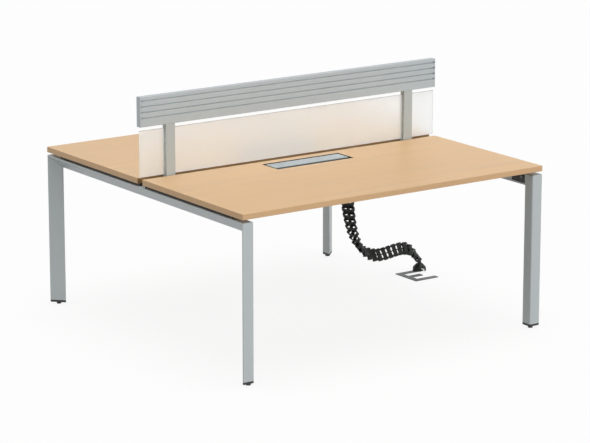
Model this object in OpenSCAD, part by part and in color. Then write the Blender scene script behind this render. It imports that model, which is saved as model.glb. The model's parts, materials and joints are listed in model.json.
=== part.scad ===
// Two-person bench desk: two worktops back to back on two end frames, with a shared screen,
// a slotted toolbar, two cable hatches and a jointed cable spine down to a floor plate.
// Millimetres. X runs left to right, Y front to back, Z up. The origin is on the floor,
// below the middle of the desk.

/* [Worktops] */
// Length of the desk, left to right
desk_l = 1600; // [1400:10:1800]
// Depth of each worktop
board_d = 780; // [700:10:800]
// Gap between the two worktops
board_gap = 40; // [34:1:60]
// Thickness of each worktop
board_t = 25; // [22:1:30]
// Height of the worktops' top faces above the floor
top_h = 742; // [720:1:760]
// Thickness of the edge bands
band_t = 2; // [1:0.5:3]

/* [End frames] */
// Side of the triangular profile of legs and rails, before its corners are rounded
prof_s = 60; // [56:1:70]
// Wall of the profile
prof_t = 2.5; // [2:0.5:3]
// Radius of the profile's two acute corners
acute_r = 4; // [3.5:0.5:5]
// Radius of the profile's square corner
square_r = 6; // [4:0.5:8]
// Clear height between the frames and the worktops
float_h = 13; // [10:1:18]
// Distance from a frame's end to the start of a rail pad
pad_inset = 100; // [60:5:160]
// Width of a rail pad
pad_w = 30; // [20:1:34]
// Length of the window in a rail's inner face beside each leg
window_l = 92; // [80:1:110]
// Height of the rail's lip below that window
window_lip = 9; // [8:0.5:11]

/* [Feet] */
// Height of the plastic cap under each leg
cap_h = 10; // [6:1:14]
// Length of the cap's spigot inside the leg
spigot_h = 20; // [14:1:30]
// Radius of a levelling foot's disc
foot_r = 11; // [10:0.5:13]
// Height of a levelling foot's disc
foot_h = 9; // [6:0.5:12]
// Radius of a levelling foot's stem
stem_r = 4; // [3:0.5:5]
// Furthest that a foot screws out
foot_travel = 15; // [10:1:18]

/* [Beams] */
// Distance of each beam from the desk's middle
beam_y = 380; // [320:5:440]
// Depth of a beam's tube, front to back
beam_w = 30; // [25:1:40]
// Height of a beam's tube
beam_h = 50; // [44:1:60]
// Wall of a beam's tube
beam_t = 2; // [1.5:0.5:3]
// Length of a beam's end plate, front to back
plate_l = 100; // [90:1:120]
// Thickness of a beam's end plate
plate_t = 5; // [4:0.5:8]
// Radius of a spacer on a beam
spacer_r = 14; // [12:0.5:15]

/* [Screen] */
// Height of the screen
screen_h = 206; // [190:1:215]
// Thickness of the screen
screen_t = 6; // [5:0.5:8]
// Height of the screen's lower edge above the worktops
screen_lift = 5; // [3:0.5:12]
// Distance of each post's middle from the desk's end
post_inset = 152; // [120:1:200]
// Width of a post
post_w = 46; // [40:1:56]
// Depth of a post with its clamp bar
post_d = 28; // [26:0.5:32]
// Depth of a post below the worktops
post_drop = 60; // [50:1:80]

/* [Toolbar] */
// Height of the toolbar above the worktops
bar_lift = 229; // [226:1:250]
// Height of the toolbar's profile
bar_h = 133; // [126:1:150]
// Height of the lowest groove's middle above the toolbar's lower edge
groove_first = 40; // [34:1:44]
// Distance between the grooves
groove_pitch = 25.3; // [24:0.1:26]
// Number of grooves on each side
groove_n = 4; // [2:1:4]
// Height of a groove's mouth
groove_open = 5.2; // [4.8:0.1:6]
// Depth of a groove
groove_depth = 7; // [6.5:0.1:8]
// Wall of the toolbar's profile
bar_wall = 2; // [1.5:0.1:2.4]
// Thickness of an end cap
cap_t = 3; // [2:0.5:8]

/* [Cable hatches] */
// Length of a hatch's cut-out
hatch_l = 416; // [360:1:460]
// Depth of a hatch's cut-out
hatch_d = 123; // [110:1:140]
// Distance from the cut-out to the worktop's inner edge
hatch_back = 47; // [40:1:60]
// Sideways shift of each hatch to its user's right
hatch_shift = 4; // [0:1:20]
// Wall of the hatch's collar
collar_t = 2.5; // [2:0.5:3]
// Depth of the collar's front bar
front_bar = 8; // [6:0.5:10]
// Length of the bristles
bristle_l = 16; // [10:0.5:18]
// Number of bristles in one brush
bristle_n = 200; // [100:10:220]
// Thickness of a lid
lid_t = 3; // [2:0.5:4]
// Gap between a lid's ends and the collar
lid_gap = 8; // [4:0.5:12]
// Furthest that a lid opens, in degrees
lid_open = 100; // [90:1:102]

/* [Cable spine] */
// Distance of the spine's top end from the desk's right end
spine_inset = 281.7; // [270:0.1:300]
// Place of the spine behind the desk's middle
spine_y = 290; // [285:1:300]
// Distance between the links' ball joints
link_pitch = 31; // [30.8:0.1:31.1]
// Width of a link
link_w = 62; // [56:1:66]
// Depth of a link
link_d = 26; // [24:0.5:28]
// Height of a link's ring at its middle
link_h = 16.5; // [12:0.5:17]
// Height of a link's ring at its two ends
link_end_h = 24; // [20:0.5:24]
// Wall of a link's ring
link_t = 3; // [2.5:0.5:4]
// Radius of a link's ball
ball_r = 5; // [4.5:0.1:5.2]
// Height of the bell at the spine's foot
bell_h = 34; // [32:1:38]
// Radius of the bell's rim
bell_r = 33; // [30:1:36]
// Width of each prong of the floor plate
prong_w = 28; // [24:1:32]
// Gap between the floor plate's prongs
prong_gap = 40; // [34:1:46]
// Length of the floor plate's front prong, with its bar
prong_l = 135; // [120:1:150]
// Thickness of the floor plate
floor_t = 4; // [3:0.5:6]

/* [Hidden] */

// Reach of a cut past the face that it opens
over = 1;
// Clearance between two fitted pieces that don't move
fit = 0.2;
// Radial clearance of a running fit
run = 0.05;
// Clearance between a moving piece and its rest
rest_gap = 0.3;
// Steps in each rounded corner of an outline
corner_steps = 6;
$fn = 32;

desk_d = 2 * board_d + board_gap;
under_z = top_h - board_t;
frame_top = under_z - float_h;
// Reach of the profile's sharp corner past its rounded nose
nose = acute_r / tan(22.5) - acute_r;
prof_w = prof_s - nose;
foot_gap = 0.5;
cap_z = foot_h + foot_gap;
leg_z = cap_z + cap_h;
// Place of a foot in its leg's profile
foot_u = prof_w * 2 / 3;
foot_v = prof_w / 3;
beam_end = desk_l / 2 - prof_w;
post_x = desk_l / 2 - post_inset;
spine_x = desk_l / 2 - spine_inset;

// Points of an arc
function arc(centre, r, from, to) =
    [for (i = [0:corner_steps]) let (a = from + (to - from) * i / corner_steps)
        centre + r * [cos(a), sin(a)]];

// Mirrors a left piece to the right where end is 1
module at_end(end) {
    mirror([end > 0 ? 1 : 0, 0, 0]) children();
}

// Mirrors a front piece to the rear where side is 1
module at_side(side) {
    mirror([0, side > 0 ? 1 : 0, 0]) children();
}

// Mirrors a left front piece to the given end (-1 left, 1 right) and side (-1 front, 1 rear)
module at_corner(end, side) {
    at_end(end) at_side(side) children();
}

// Turns a front piece round to the rear user's side
module rear_side() {
    rotate([0, 0, 180]) children();
}

// Bolt or screw along +Z, its head below z = 0
module bolt(r, l, head_r, head_h) {
    translate([0, 0, -head_h]) cylinder(r = head_r, h = head_h);
    cylinder(r = r, h = l);
}

// Rectangle with rounded corners, centred on X, standing on Y = 0
module round_rect(w, h, r) {
    polygon(concat(
        arc([w / 2 - r, r], r, 270, 360),
        arc([w / 2 - r, h - r], r, 0, 90),
        arc([r - w / 2, h - r], r, 90, 180),
        arc([r - w / 2, r], r, 180, 270)));
}

// Worktops

hatch_y = board_gap / 2 + hatch_back + hatch_d / 2;
spacer_shares = [-0.7, -0.25, 0.25, 0.7];
screw_r = 3;
screw_bite = 16;
screw_head_r = 6;
screw_head_h = 4;

// Places a child at each of the front worktop's beam screws
module at_board_screws() {
    for (s = spacer_shares) translate([s * desk_l / 2, -beam_y, under_z]) children();
}

// Front worktop's blank, drawn in by the given margin
module board_blank(margin) {
    translate([margin - desk_l / 2, margin - desk_d / 2, under_z])
        cube([desk_l - 2 * margin, board_d - 2 * margin, board_t]);
}

module hatch_hole() {
    translate([hatch_shift - hatch_l / 2, -hatch_y - hatch_d / 2, under_z - over])
        cube([hatch_l, hatch_d, board_t + 2 * over]);
}

module worktop_board(spine) {
    difference() {
        board_blank(band_t);
        hatch_hole();
        at_board_screws() translate([0, 0, -over]) cylinder(r = screw_r + run, h = screw_bite + over);
        at_bracket_screws(1) pilot();
        at_bracket_screws(-1) pilot();
        at_collar_screws() pilot();
        if (spine) rear_side() at_spine_screws() pilot();
    }
}

// Pilot hole for a small screw, from a worktop's underside
module pilot() {
    translate([0, 0, -over]) cylinder(r = small_r + run, h = small_bite + over);
}

module edge_band() {
    difference() {
        board_blank(0);
        translate([band_t - desk_l / 2, band_t - desk_d / 2, under_z - over])
            cube([desk_l - 2 * band_t, board_d - 2 * band_t, board_t + 2 * over]);
    }
}

module front_worktop() {
    color("burlywood") worktop_board(false);
}

module rear_worktop() {
    color("burlywood") rear_side() worktop_board(true);
}

module front_edge_band() {
    color("tan") edge_band();
}

module rear_edge_band() {
    color("tan") rear_side() edge_band();
}

// End frames

// Triangular profile: flat side along X at Y = 0, square corner at the far end of X
module profile(inset) {
    polygon(concat(
        arc([acute_r, acute_r], acute_r - inset, 135, 270),
        arc([prof_w - square_r, square_r], square_r - inset, 270, 360),
        arc([prof_w - acute_r, prof_w - acute_r], acute_r - inset, 0, 135)));
}

module tube_profile() {
    difference() {
        profile(0);
        profile(prof_t);
    }
}

// All that lies above the mitre between a leg and its rail, from a frame's front end
module above_mitre(w) {
    translate([-over, 0, 0]) rotate([90, 0, 90]) linear_extrude(w + 2 * over)
        polygon([[-over, over], [prof_s + over, over], [prof_s + over, -prof_s - over]]);
}

module below_mitre(w) {
    translate([-over, 0, 0]) rotate([90, 0, 90]) linear_extrude(w + 2 * over)
        polygon([[-over, over], [-over, -prof_s - over], [prof_s + over, -prof_s - over]]);
}

// Left front leg
module leg() {
    color("lightgray") difference() {
        translate([-desk_l / 2, -desk_d / 2, leg_z]) linear_extrude(frame_top - leg_z) tube_profile();
        translate([-desk_l / 2, -desk_d / 2, frame_top]) above_mitre(prof_w);
    }
}

window_y = prof_w + 2 * fit;
window_top = square_r;
window_foot = prof_w - window_lip;
block_screw_r = 3;
block_screw_l = 24;
block_screw_shares = [0.27];
block_screw_v_share = 0.37;
block_recess = 1.5;
block_line = 2;

// Left rail
module rail() {
    color("lightgray") difference() {
        translate([-desk_l / 2, -desk_d / 2, frame_top]) rotate([-90, 0, 0])
            linear_extrude(desk_d) tube_profile();
        for (side = [-1, 1]) at_side(side) {
            translate([-desk_l / 2, -desk_d / 2, frame_top]) below_mitre(prof_w);
            translate([-beam_end - prof_t - over, window_y - desk_d / 2, frame_top - window_foot])
                cube([prof_t + 2 * over, window_l, window_foot - window_top]);
            at_beam_bolts() translate([0, 0, -over]) cylinder(r = beam_bolt_r + fit, h = bolt_reach + over);
        }
    }
}

// Black block in the rail's window, by the left front leg
module corner_block() {
    // Distance of the block's slanted back from the profile's sloping face, across it
    back = (prof_t + 2 * fit) * sqrt(2) - nose;
    face = prof_w - block_recess;
    color("dimgray") difference() {
        translate([-desk_l / 2, window_y + fit - desk_d / 2, frame_top]) rotate([-90, 0, 0])
            linear_extrude(window_l - 2 * fit)
                polygon([[face, window_top + fit], [face, window_foot - fit],
                    [window_foot + back, window_foot - fit], [window_top + back + fit, window_top + fit]]);
        // Joint line down the block's middle
        translate([-beam_end - 2 * block_recess, window_y + (window_l - block_line) / 2 - desk_d / 2,
            frame_top - window_foot]) cube([2 * block_recess, block_line, window_foot - window_top]);
        at_block_screws() cylinder(r = block_screw_r + run, h = block_screw_l + over);
    }
}

// Places a child on the block's face, its +Z running into the block
module at_block_screws() {
    for (s = block_screw_shares)
        translate([-beam_end - block_recess, window_y + s * window_l - desk_d / 2,
            frame_top - prof_w * block_screw_v_share]) rotate([0, -90, 0]) children();
}

module corner_screws() {
    color("silver") for (end = [-1, 1]) for (side = [-1, 1]) at_corner(end, side)
        at_block_screws() bolt(block_screw_r, block_screw_l, 2 * block_screw_r, block_screw_r);
}

// Strip between the left rail and the front worktop
module pad() {
    color("dimgray") translate([-desk_l / 2 + (prof_w - pad_w) / 2, pad_inset - desk_d / 2, frame_top])
        cube([pad_w, board_d - pad_inset, float_h]);
}

module leg_front_left() { at_corner(-1, -1) leg(); }
module leg_front_right() { at_corner(1, -1) leg(); }
module leg_rear_left() { at_corner(-1, 1) leg(); }
module leg_rear_right() { at_corner(1, 1) leg(); }
module rail_left() { rail(); }
module rail_right() { at_corner(1, -1) rail(); }
module corner_block_front_left() { at_corner(-1, -1) corner_block(); }
module corner_block_front_right() { at_corner(1, -1) corner_block(); }
module corner_block_rear_left() { at_corner(-1, 1) corner_block(); }
module corner_block_rear_right() { at_corner(1, 1) corner_block(); }
module pad_front_left() { at_corner(-1, -1) pad(); }
module pad_front_right() { at_corner(1, -1) pad(); }
module pad_rear_left() { at_corner(-1, 1) pad(); }
module pad_rear_right() { at_corner(1, 1) pad(); }

// Feet

// Cap under the left front leg, with the bore for its foot
module leg_cap() {
    color("dimgray") translate([-desk_l / 2, -desk_d / 2, cap_z]) difference() {
        union() {
            linear_extrude(cap_h) profile(0);
            linear_extrude(cap_h + spigot_h) profile(prof_t + fit);
        }
        translate([foot_u, foot_v, -over]) cylinder(r = stem_r + run, h = cap_h + spigot_h + 2 * over);
    }
}

// Levelling foot of the left front leg
module foot() {
    // Height of the disc's straight rim, before its taper
    rim_h = foot_h * 0.6;
    color("dimgray") translate([foot_u - desk_l / 2, foot_v - desk_d / 2, 0]) {
        cylinder(r = foot_r, h = rim_h);
        translate([0, 0, rim_h]) cylinder(r1 = foot_r, r2 = foot_r * 0.8, h = foot_h - rim_h);
        cylinder(r = stem_r, h = cap_z + cap_h + spigot_h);
    }
}

module cap_front_left() { at_corner(-1, -1) leg_cap(); }
module cap_front_right() { at_corner(1, -1) leg_cap(); }
module cap_rear_left() { at_corner(-1, 1) leg_cap(); }
module cap_rear_right() { at_corner(1, 1) leg_cap(); }
module foot_front_left() { at_corner(-1, -1) foot(); }
module foot_front_right() { at_corner(1, -1) foot(); }
module foot_rear_left() { at_corner(-1, 1) foot(); }
module foot_rear_right() { at_corner(1, 1) foot(); }

// Beams

beam_bolt_r = 4;
bolt_head_r = 7;
bolt_head_h = 4;
bolt_reach = plate_t + 2 * prof_t;
// Depth of the beams' bolts below the frame's top
plate_v = beam_h / 2;

// Places a child at the front beam's left bolts, its +Z running outward from the plate's inner face
module at_beam_bolts() {
    for (s = [-1, 1])
        translate([plate_t - beam_end, s * (plate_l / 2 - 2 * bolt_head_r) - beam_y, frame_top - plate_v])
            rotate([0, -90, 0]) children();
}

// Front beam: a tube welded into a plate at each end
module beam() {
    color("lightgray") difference() {
        union() {
            translate([-beam_end, -beam_y - beam_w / 2, frame_top - beam_h])
                cube([2 * beam_end, beam_w, beam_h]);
            for (end = [-1, 1]) at_end(end)
                translate([-beam_end, -beam_y - plate_l / 2, frame_top - beam_h])
                    cube([plate_t, plate_l, beam_h]);
        }
        translate([plate_t - beam_end, beam_t - beam_y - beam_w / 2, frame_top - beam_h + beam_t])
            cube([2 * (beam_end - plate_t), beam_w - 2 * beam_t, beam_h - 2 * beam_t]);
        at_board_screws() translate([0, 0, -float_h - beam_h - over])
            cylinder(r = screw_r + fit, h = beam_h + 2 * over);
        for (end = [-1, 1]) at_end(end)
            at_beam_bolts() translate([0, 0, -over])
                cylinder(r = beam_bolt_r + fit, h = bolt_reach + 2 * over);
    }
}

module front_beam() { beam(); }
module rear_beam() { rear_side() beam(); }

module beam_bolts() {
    color("silver") for (end = [-1, 1]) for (side = [-1, 1]) at_corner(end, side)
        at_beam_bolts() bolt(beam_bolt_r, bolt_reach, bolt_head_r, bolt_head_h);
}

module beam_spacers() {
    color("dimgray") for (turn = [0, 180]) rotate([0, 0, turn]) at_board_screws()
        translate([0, 0, -float_h]) difference() {
            cylinder(r = spacer_r, h = float_h);
            translate([0, 0, -over]) cylinder(r = screw_r + fit, h = float_h + 2 * over);
        }
}

module worktop_screws() {
    screw_l = beam_h + float_h + screw_bite - run;
    color("silver") for (turn = [0, 180]) rotate([0, 0, turn]) at_board_screws()
        translate([0, 0, -float_h - beam_h]) bolt(screw_r, screw_l, screw_head_r, screw_head_h);
}

// Posts, screen and toolbar

small_r = 2;
small_bite = 12;
small_head_r = 4;
small_head_h = 2;
screen_z = top_h + screen_lift;
screen_top = screen_z + screen_h;
bar_z = top_h + bar_lift;
bar_top = bar_z + bar_h;
post_z = under_z - post_drop;
half_d = post_d / 2;
half_screen = screen_t / 2;
bracket_t = 4;
// Reach of a bracket's plate past the post and under each worktop
bracket_wing = 35;
bracket_reach = 55;
bracket_w = post_w + 2 * bracket_wing;
bracket_d = board_gap + 2 * bracket_reach;
sleeve_t = 3;
clamp_shares = [0.25, 0.75];
clamp_r = 2.5;
clamp_blind_t = 2.5;
post_bolt_r = 3;
post_bolt_l = sleeve_t + fit + half_d / 2;
bar_bolt_r = 2.5;
bar_bolt_l = 14;
bar_bolt_step = post_w / 4;
// Distance of the toolbar's bolts behind its middle
bar_bolt_y = half_d / 4;

// Places a child at the clamp's bolts on the rear face, its +Z running forward
module at_clamp_bolts() {
    for (s = clamp_shares) translate([-post_x, half_d, screen_z + s * screen_h])
        rotate([90, 0, 0]) children();
}

module clamp_holes() {
    at_clamp_bolts() translate([0, 0, -over]) cylinder(r = clamp_r + fit, h = post_d + 2 * over);
}

// Places a child at the two bolts through a post's top
module at_bar_bolts() {
    for (s = [-1, 1]) translate([s * bar_bolt_step - post_x, bar_bolt_y, bar_z]) children();
}

// Places a child on the front face of a bracket's sleeve, its +Z running rearward
module at_post_bolt() {
    translate([-post_x, -half_d - fit - sleeve_t, under_z - post_drop / 2]) rotate([-90, 0, 0]) children();
}

// Left post: its rear half, thicker above and below the screen
module post() {
    color("lightgray") difference() {
        union() {
            translate([-post_x - post_w / 2, half_screen + fit, post_z])
                cube([post_w, half_d - half_screen - fit, bar_z - post_z]);
            translate([-post_x - post_w / 2, -half_screen - fit, post_z])
                cube([post_w, half_d, screen_z - post_z]);
            translate([-post_x - post_w / 2, -half_screen - fit, screen_top + fit])
                cube([post_w, half_d, bar_z - screen_top - fit]);
        }
        clamp_holes();
        at_bar_bolts() translate([0, 0, -bar_bolt_l]) cylinder(r = bar_bolt_r + run, h = bar_bolt_l + over);
    }
}

// Left clamp bar, in front of the screen
module clamp_bar() {
    color("lightgray") difference() {
        translate([-post_x - post_w / 2, -half_d, post_z])
            cube([post_w, half_d - half_screen - fit, bar_z - post_z]);
        at_clamp_bolts() translate([0, 0, half_d]) cylinder(r = clamp_r + run, h = half_d - clamp_blind_t);
        at_post_bolt() cylinder(r = post_bolt_r + run, h = post_bolt_l + over);
    }
}

module clamp_bolts() {
    color("silver") for (end = [-1, 1]) at_end(end)
        at_clamp_bolts() bolt(clamp_r, post_d - 2 * clamp_blind_t, 2 * clamp_r, clamp_r);
}

// Places a child on the underside of the left bracket, at its two screws on the given side
module at_bracket_screws(end) {
    for (s = [-1, 1])
        translate([end * post_x + s * (bracket_w / 2 - 2 * small_head_r),
            3 * small_head_r - bracket_d / 2, under_z]) children();
}

// Bracket under both worktops, with the sleeve that holds the left post
module post_bracket() {
    inner_w = post_w + 2 * fit;
    inner_d = post_d + 2 * fit;
    color("gray") difference() {
        union() {
            translate([-post_x - bracket_w / 2, -bracket_d / 2, under_z - bracket_t])
                cube([bracket_w, bracket_d, bracket_t]);
            translate([-post_x - inner_w / 2 - sleeve_t, -inner_d / 2 - sleeve_t, post_z - sleeve_t])
                cube([inner_w + 2 * sleeve_t, inner_d + 2 * sleeve_t, post_drop + sleeve_t]);
        }
        translate([-post_x - inner_w / 2, -inner_d / 2, post_z]) cube([inner_w, inner_d, post_drop + over]);
        for (turn = [0, 180]) rotate([0, 0, turn]) at_bracket_screws(turn == 0 ? -1 : 1)
            translate([0, 0, -bracket_t - over]) cylinder(r = small_r + fit, h = bracket_t + 2 * over);
        at_post_bolt() translate([0, 0, -over]) cylinder(r = post_bolt_r + fit, h = sleeve_t + 2 * over);
    }
}

module bracket_screws() {
    color("silver") for (turn = [0, 180]) rotate([0, 0, turn]) for (end = [-1, 1])
        at_bracket_screws(end) translate([0, 0, -bracket_t])
            bolt(small_r, small_bite + bracket_t - run, small_head_r, small_head_h);
}

module post_bolts() {
    color("silver") for (end = [-1, 1]) at_end(end)
        at_post_bolt() bolt(post_bolt_r, post_bolt_l, 2 * post_bolt_r, post_bolt_r);
}

module post_left() { post(); }
module post_right() { at_end(1) post(); }
module clamp_bar_left() { clamp_bar(); }
module clamp_bar_right() { at_end(1) clamp_bar(); }
module post_bracket_left() { post_bracket(); }
module post_bracket_right() { at_end(1) post_bracket(); }

module screen() {
    color("linen") difference() {
        translate([-desk_l / 2, -half_screen, screen_z]) cube([desk_l, screen_t, screen_h]);
        for (end = [-1, 1]) at_end(end) clamp_holes();
    }
}

bar_r = 1.5;
lip_t = 2.5;
lip_h = 2.6;
core_w = post_d - 2 * groove_depth - 2 * bar_wall;

function groove_z(i) = groove_first + i * groove_pitch;

// Hooked groove, its mouth at Y = 0 and its depth along -X from the origin
module groove() {
    translate([-groove_depth, -groove_open / 2]) square([groove_depth + over, groove_open]);
    translate([-groove_depth, -groove_open / 2]) square([groove_depth - lip_t, groove_open + lip_h]);
}

// Hollow of one slat, between two heights
module slat_hollow(from, to) {
    translate([bar_wall - post_d / 2, from]) square([post_d - 2 * bar_wall, to - from]);
}

module bar_section() {
    half_open = groove_open / 2;
    difference() {
        round_rect(post_d, bar_h, bar_r);
        for (i = [0:groove_n - 1]) for (side = [0, 1]) mirror([side, 0])
            translate([post_d / 2, groove_z(i)]) groove();
        translate([-core_w / 2, bar_wall]) square([core_w, bar_h - 2 * bar_wall]);
        slat_hollow(bar_wall, groove_first - half_open - bar_wall);
        for (i = [0:groove_n - 2])
            slat_hollow(groove_z(i) + half_open + lip_h + bar_wall, groove_z(i + 1) - half_open - bar_wall);
        slat_hollow(groove_z(groove_n - 1) + half_open + lip_h + bar_wall, bar_h - bar_wall);
    }
}

module toolbar() {
    color("silver") difference() {
        translate([-desk_l / 2, 0, bar_z]) rotate([90, 0, 90]) linear_extrude(desk_l) bar_section();
        for (end = [-1, 1]) at_end(end)
            at_bar_bolts() translate([0, 0, -over]) cylinder(r = bar_bolt_r + fit, h = bar_wall + 2 * over);
    }
}

// Cap on the toolbar's left end, with a spigot in its core
module toolbar_cap() {
    color("silver") {
        translate([-desk_l / 2 - cap_t, 0, bar_z]) rotate([90, 0, 90]) linear_extrude(cap_t)
            round_rect(post_d, bar_h, bar_r);
        translate([-desk_l / 2, fit - core_w / 2, bar_z + bar_wall + fit])
            cube([4 * cap_t, core_w - 2 * fit, bar_h - 2 * bar_wall - 2 * fit]);
    }
}

module toolbar_cap_left() { toolbar_cap(); }
module toolbar_cap_right() { at_end(1) toolbar_cap(); }

// Bolts up through the toolbar's floor, each with its nut
module toolbar_bolts() {
    color("silver") for (end = [-1, 1]) at_end(end) at_bar_bolts() {
        translate([0, 0, run - bar_bolt_l]) cylinder(r = bar_bolt_r, h = bar_bolt_l + bar_wall);
        translate([0, 0, bar_wall]) cylinder(r = 1.6 * bar_bolt_r, h = 2 * bar_bolt_r, $fn = 6);
    }
}

// Cable hatches, each drawn about the middle of its cut-out with Z = 0 at the worktop's top

inner_l = hatch_l - 2 * fit - 2 * collar_t;
flange_w = 14;
flange_t = 2;
lid_l = inner_l - 2 * lid_gap;
brush_t = 4;
brush_h = 8;
brush_drop = 1;
bristle_w = 1.2;
bar_back = front_bar + fit - hatch_d / 2;
lid_front = bar_back + brush_t + bristle_l + rest_gap;
// Gap between a lid's rear edge and the collar
rear_gap = 12;
lid_rear = hatch_d / 2 - fit - collar_t - rear_gap;
pin_r = 2;
pin_drop = lid_t + 2 * pin_r;
pin_y = lid_rear - 2 * pin_r;
ear_t = 3;
ledge_l = 10;
bar_depth = 14;

module at_hatch() {
    translate([hatch_shift, -hatch_y, top_h]) children();
}

// Places a child at the collar's screws, on the front worktop's underside
module at_collar_screws() {
    for (sx = [-1, 1]) for (sy = [-1, 1])
        translate([hatch_shift + sx * (hatch_l / 2 - flange_w),
            sy * (hatch_d / 2 + flange_w / 2) - hatch_y, under_z]) children();
}

// Collar in the cut-out, with a flange under the worktop, a front bar and ledges for the lid
module hatch_collar() {
    outer_l = hatch_l - 2 * fit;
    outer_d = hatch_d - 2 * fit;
    inner_d = outer_d - 2 * collar_t;
    color("dimgray") difference() {
        union() {
            at_hatch() difference() {
                union() {
                    translate([-outer_l / 2, -outer_d / 2, -board_t]) cube([outer_l, outer_d, board_t]);
                    translate([-hatch_l / 2 - flange_w, -hatch_d / 2 - flange_w, -board_t - flange_t])
                        cube([hatch_l + 2 * flange_w, hatch_d + 2 * flange_w, flange_t]);
                }
                translate([-inner_l / 2, -inner_d / 2, -board_t - flange_t - over])
                    cube([inner_l, inner_d, board_t + flange_t + 2 * over]);
                for (s = [-1, 1]) translate([s * (inner_l / 2 - over), pin_y, -pin_drop])
                    rotate([0, s * 90, 0]) cylinder(r = pin_r + run, h = collar_t + 2 * over);
            }
            at_hatch() translate([-outer_l / 2, -outer_d / 2, -bar_depth])
                cube([outer_l, front_bar, bar_depth]);
            at_hatch() for (s = [-1, 1]) at_end(-s)
                translate([inner_l / 2 - lid_gap - ledge_l, -ledge_l, -lid_t - rest_gap - collar_t])
                    cube([lid_gap + ledge_l + collar_t / 2, ledge_l, collar_t]);
        }
        at_collar_screws() translate([0, 0, -flange_t - over])
            cylinder(r = small_r + fit, h = flange_t + 2 * over);
    }
}

// Lid with a folded front lip and an ear for a pin at each end
module hatch_lid() {
    color("lightsteelblue") at_hatch() difference() {
        union() {
            translate([-lid_l / 2, lid_front, -lid_t]) cube([lid_l, lid_rear - lid_front, lid_t]);
            translate([-lid_l / 2, lid_front, -3 * lid_t]) cube([lid_l, lid_t / 2, 3 * lid_t]);
            for (s = [-1, 1]) at_end(-s) {
                translate([lid_l / 2 - ear_t, pin_y - 2 * pin_r, -pin_drop])
                    cube([ear_t, 4 * pin_r, pin_drop]);
                translate([lid_l / 2 - ear_t, pin_y, -pin_drop]) rotate([0, 90, 0])
                    cylinder(r = 2 * pin_r, h = ear_t);
            }
        }
        for (s = [-1, 1]) at_end(-s) translate([lid_l / 2 - ear_t - over, pin_y, -pin_drop])
            rotate([0, 90, 0]) cylinder(r = pin_r + run, h = ear_t + 2 * over);
    }
}

// Two stub pins on each lid's axis, each held in a side of the collar
module hatch_pins() {
    pin_l = ear_t + lid_gap + collar_t;
    color("silver") for (turn = [0, 180]) rotate([0, 0, turn]) at_hatch() for (s = [-1, 1]) at_end(-s)
        translate([lid_l / 2 - ear_t, pin_y, -pin_drop]) rotate([0, 90, 0]) cylinder(r = pin_r, h = pin_l);
}

// Brush along the front bar: a backing strip with one row of bristles
module brush() {
    step = (lid_l - bristle_w) / (bristle_n - 1);
    color("dimgray") at_hatch() {
        translate([fit - inner_l / 2, bar_back, -brush_drop - brush_h])
            cube([inner_l - 2 * fit, brush_t, brush_h]);
        for (i = [0:bristle_n - 1])
            translate([(bristle_w - lid_l) / 2 + i * step, bar_back + brush_t / 2,
                -brush_drop - brush_h / 4 * (1 + i % 3)])
                rotate([-90, 0, 0]) cylinder(r = bristle_w / 2, h = brush_t / 2 + bristle_l, $fn = 3);
    }
}

module collar_screws() {
    color("silver") for (turn = [0, 180]) rotate([0, 0, turn]) at_collar_screws()
        translate([0, 0, -flange_t]) bolt(small_r, small_bite + flange_t - run, small_head_r, small_head_h);
}

module front_hatch_collar() { hatch_collar(); }
module rear_hatch_collar() { rear_side() hatch_collar(); }
module front_hatch_lid() { hatch_lid(); }
module rear_hatch_lid() { rear_side() hatch_lid(); }
module front_brush() { brush(); }
module rear_brush() { rear_side() brush(); }

// Cable spine

// Lean of each link in the bend from straight down towards +X, in degrees, from the top on
link_lean = [1, 1, 2, 3, 4, 5, 7, 9, 11, 14, 17, 22, 27, 37, 48, 59, 70, 82, 92, 97, 98, 95, 86, 70,
    50, 39, 38];
// Turn of each link in the bend about its own length, in degrees
link_turn = [-35, -35, -35, -36, -38, -42, -47, -53, -60, -67, -74, -82, -91, -101, -112, -124, -137,
    -149, -158, -163, -165, -164, -160, -150, -135, -120, -110];
// Slant of a link's ring across its depth and across its width, in degrees
link_slant = 25;
link_skew = 8;
neck_r = 2.8;
hub_r = 7.5;
hub_wall = 3;
hub_lip = 1;
hub_top = ball_r - hub_lip;
socket_gap = 0.3;
hub_floor = -ball_r - socket_gap - hub_wall;
web_t = 3;
bend_n = len(link_lean);
bell_seat = floor_t + bell_h - hub_floor;
bend_drop = link_pitch * sum_of([for (a = link_lean) cos(a)], bend_n);
// Straight links above the bend, and the hanger that takes up the rest of the height
hang_h = under_z - bracket_t - bell_seat - bend_drop;
straight_n = floor(hang_h / link_pitch) - 1;
hanger_h = hang_h - straight_n * link_pitch;
bend_z = bell_seat + bend_drop;

function sum_of(list, n) = n == 0 ? 0 : list[n - 1] + sum_of(list, n - 1);

// Place of the bend's nth ball joint
function joint_at(n) = [
    spine_x + link_pitch * sum_of([for (a = link_lean) sin(a)], n),
    spine_y,
    bend_z - link_pitch * sum_of([for (a = link_lean) cos(a)], n)];

// Outline of a link's ring, drawn in by the given wall
module ring_outline(inset) {
    x = link_w / 2 - inset;
    y = link_d / 2 - inset;
    flat = link_d / 5;
    polygon([[x, -flat], [x, flat], [x - y + flat, y], [y - flat - x, y],
        [-x, flat], [-x, -flat], [y - flat - x, -y], [x - y + flat, -y]]);
}

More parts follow.
